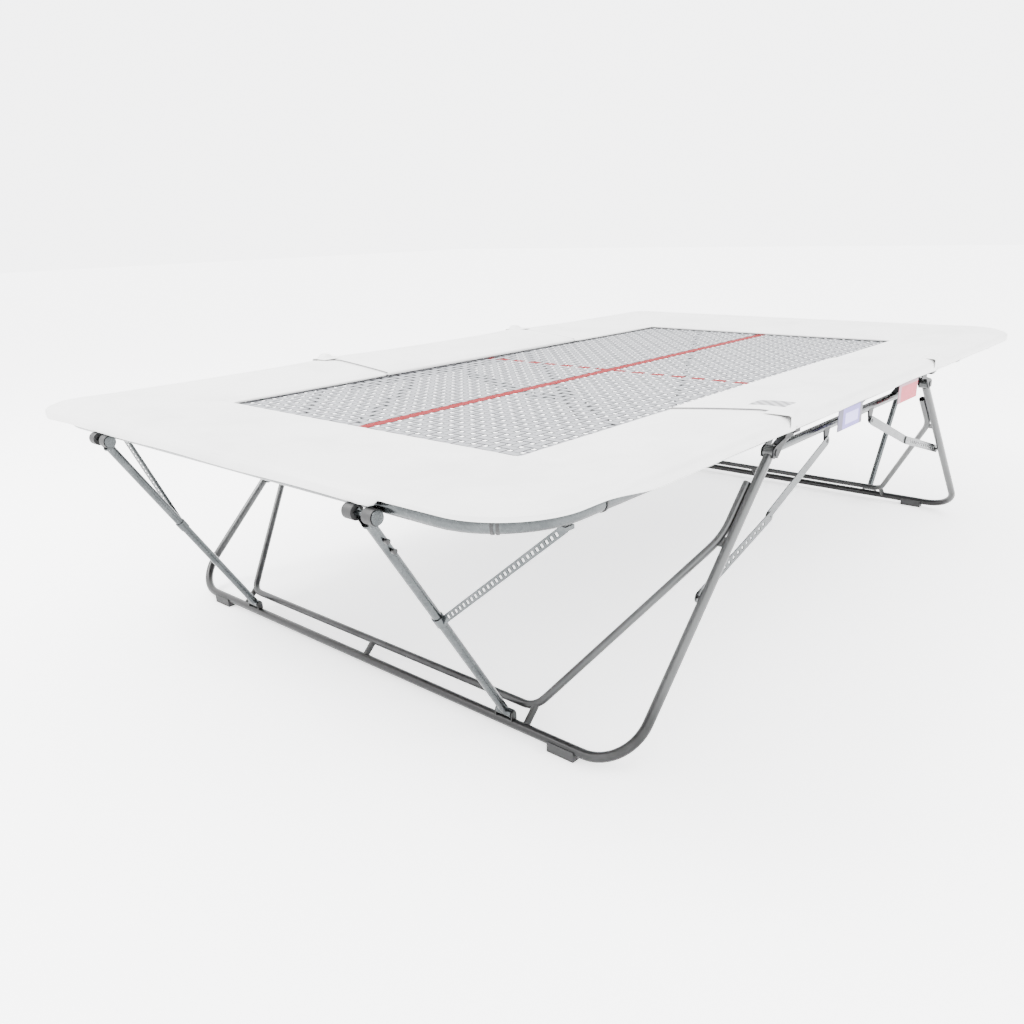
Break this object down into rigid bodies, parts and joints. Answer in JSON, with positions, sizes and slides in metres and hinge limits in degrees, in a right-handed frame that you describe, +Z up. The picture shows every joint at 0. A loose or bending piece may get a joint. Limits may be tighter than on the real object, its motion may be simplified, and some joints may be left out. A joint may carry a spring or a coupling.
{
  "type": "folding trampoline",
  "caption": "Folding rectangular competition trampoline: padded tube frame in three hinged sections, sprung webbing bed, folding U-shaped legs, struts and stays.",
  "frame": {"origin": "on the floor under the middle of the bed", "axes": "+Y along the bed towards the far end, +X across the bed to the right, +Z up"},
  "size_m": [3.14, 5.3, 1.212],
  "materials": {
    "bed_webbing": "woven flat nylon webbing",
    "black_plastic": "matt",
    "black_rubber": "matt",
    "blue_plate": "satin lilac, blank",
    "dark_steel": "dark grey coating",
    "galvanised_tube": "galvanised tube",
    "grey_leg_steel": "grey galvanised",
    "pad_vinyl": "satin white coated fabric",
    "red_plate": "satin pink-red, blank",
    "spring_steel": "zinc plated spring wire",
    "zinc_pins": "bright zinc"
  },
  "bodies": {
    "middle_frame": {"blue_side_plate": "blue_plate", "hinge_pins": "zinc_pins", "left_lower_rail": "galvanised_tube", "left_middle_pad": "pad_vinyl", "left_side_tube": "galvanised_tube", "leg_pivot_brackets": "dark_steel", "middle_bed": "bed_webbing", "middle_hinge_lugs": "dark_steel", "middle_springs": "spring_steel", "rail_brackets": "dark_steel", "rail_end_caps": "black_plastic", "red_side_plate": "red_plate", "right_lower_rail": "galvanised_tube", "right_middle_pad": "pad_vinyl", "right_side_tube": "galvanised_tube", "stay_anchors": "zinc_pins"},
    "near_end": {"near_end_bed": "bed_webbing", "near_end_hinge_lugs": "dark_steel", "near_end_pad": "pad_vinyl", "near_end_springs": "spring_steel", "near_end_tube": "galvanised_tube", "near_tube_collars": "galvanised_tube"},
    "far_end": {"far_end_bed": "bed_webbing", "far_end_hinge_lugs": "dark_steel", "far_end_pad": "pad_vinyl", "far_end_springs": "spring_steel", "far_end_tube": "galvanised_tube", "far_tube_collars": "galvanised_tube"},
    "near_leg": {"near_foot_pads": "black_rubber", "near_inner_leg": "grey_leg_steel", "near_leg_eyes": "galvanised_tube", "near_leg_webs": "grey_leg_steel", "near_outer_leg": "grey_leg_steel", "near_strut_lugs": "grey_leg_steel"},
    "far_leg": {"far_foot_pads": "black_rubber", "far_inner_leg": "grey_leg_steel", "far_leg_eyes": "galvanised_tube", "far_leg_webs": "grey_leg_steel", "far_outer_leg": "grey_leg_steel", "far_strut_lugs": "grey_leg_steel"},
    "near_upper_stays": {"near_upper_stays": "galvanised_tube"},
    "near_lower_stays": {"near_lower_stays": "galvanised_tube"},
    "near_left_strut": {"near_left_brace": "galvanised_tube", "near_left_rollers": "black_rubber", "near_left_strut": "galvanised_tube"},
    "near_left_knobs": {"near_left_latch_knobs": "black_plastic"},
    "near_right_strut": {"near_right_brace": "galvanised_tube", "near_right_rollers": "black_rubber", "near_right_strut": "galvanised_tube"},
    "near_right_knobs": {"near_right_latch_knobs": "black_plastic"},
    "far_upper_stays": {"far_upper_stays": "galvanised_tube"},
    "far_lower_stays": {"far_lower_stays": "galvanised_tube"},
    "far_left_strut": {"far_left_rollers": "black_rubber", "far_left_strut": "galvanised_tube"},
    "far_left_knobs": {"far_left_latch_knobs": "black_plastic"},
    "far_right_strut": {"far_right_rollers": "black_rubber", "far_right_strut": "galvanised_tube"},
    "far_right_knobs": {"far_right_latch_knobs": "black_plastic"}
  },
  "joints": [
    {"name": "near_end_fold", "type": "hinge", "parent": "middle_frame", "child": "near_end", "pos_m": [0, -0.9, 1.2], "axis": [-1, 0, 0], "range_deg": [0, 178]},
    {"name": "near_leg_fold", "type": "hinge", "parent": "middle_frame", "child": "near_leg", "pos_m": [0, -0.97, 1.04], "axis": [1, 0, 0], "range_deg": [0, 100]},
    {"name": "near_upper_stay_fold", "type": "hinge", "parent": "middle_frame", "child": "near_upper_stays", "pos_m": [0, -0.28, 0.945], "axis": [1, 0, 0], "range_deg": [0, 122.3]},
    {"name": "near_lower_stay_fold", "type": "hinge", "parent": "near_leg", "child": "near_lower_stays", "pos_m": [0, -1.46516, 0.55455], "axis": [1, 0, 0], "range_deg": [-123.2, 0]},
    {"name": "near_left_strut_fold", "type": "hinge", "parent": "near_leg", "child": "near_left_strut", "pos_m": [-0.9, -1.99, 0.083], "axis": [1, 0, 0], "range_deg": [-48.5, 0]},
    {"name": "near_left_knob_press", "type": "slide", "parent": "near_left_strut", "child": "near_left_knobs", "axis": [1, 0, 0], "range_m": [0, 0.004], "stiffness_N_per_m": 900},
    {"name": "near_right_strut_fold", "type": "hinge", "parent": "near_leg", "child": "near_right_strut", "pos_m": [0.9, -1.99, 0.083], "axis": [1, 0, 0], "range_deg": [-48.5, 0]},
    {"name": "near_right_knob_press", "type": "slide", "parent": "near_right_strut", "child": "near_right_knobs", "axis": [-1, 0, 0], "range_m": [0, 0.004], "stiffness_N_per_m": 900},
    {"name": "far_end_fold", "type": "hinge", "parent": "middle_frame", "child": "far_end", "pos_m": [0, 0.9, 1.2], "axis": [1, 0, 0], "range_deg": [0, 110]},
    {"name": "far_leg_fold", "type": "hinge", "parent": "middle_frame", "child": "far_leg", "pos_m": [0, 0.97, 1.04], "axis": [-1, 0, 0], "range_deg": [0, 75]},
    {"name": "far_upper_stay_fold", "type": "hinge", "parent": "middle_frame", "child": "far_upper_stays", "pos_m": [0, 0.28, 0.945], "axis": [-1, 0, 0], "range_deg": [0, 95.9]},
    {"name": "far_lower_stay_fold", "type": "hinge", "parent": "far_leg", "child": "far_lower_stays", "pos_m": [0, 1.46516, 0.55455], "axis": [-1, 0, 0], "range_deg": [-96.3, 0]},
    {"name": "far_left_strut_fold", "type": "hinge", "parent": "far_leg", "child": "far_left_strut", "pos_m": [-0.9, 1.99, 0.083], "axis": [-1, 0, 0], "range_deg": [-36.5, 0]},
    {"name": "far_left_knob_press", "type": "slide", "parent": "far_left_strut", "child": "far_left_knobs", "axis": [1, 0, 0], "range_m": [0, 0.004], "stiffness_N_per_m": 900},
    {"name": "far_right_strut_fold", "type": "hinge", "parent": "far_leg", "child": "far_right_strut", "pos_m": [0.9, 1.99, 0.083], "axis": [-1, 0, 0], "range_deg": [-36.5, 0]},
    {"name": "far_right_knob_press", "type": "slide", "parent": "far_right_strut", "child": "far_right_knobs", "axis": [-1, 0, 0], "range_m": [0, 0.004], "stiffness_N_per_m": 900}
  ],
  "couplings": [
    {"joint": "near_upper_stay_fold", "follows": "near_leg_fold", "ratio": 1.2179},
    {"joint": "near_lower_stay_fold", "follows": "near_leg_fold", "ratio": -1.2269},
    {"joint": "near_left_strut_fold", "follows": "near_leg_fold", "ratio": -0.48},
    {"joint": "near_right_strut_fold", "follows": "near_leg_fold", "ratio": -0.48},
    {"joint": "far_upper_stay_fold", "follows": "far_leg_fold", "ratio": 1.2719},
    {"joint": "far_lower_stay_fold", "follows": "far_leg_fold", "ratio": -1.2771},
    {"joint": "far_left_strut_fold", "follows": "far_leg_fold", "ratio": -0.48},
    {"joint": "far_right_strut_fold", "follows": "far_leg_fold", "ratio": -0.48}
  ]
}
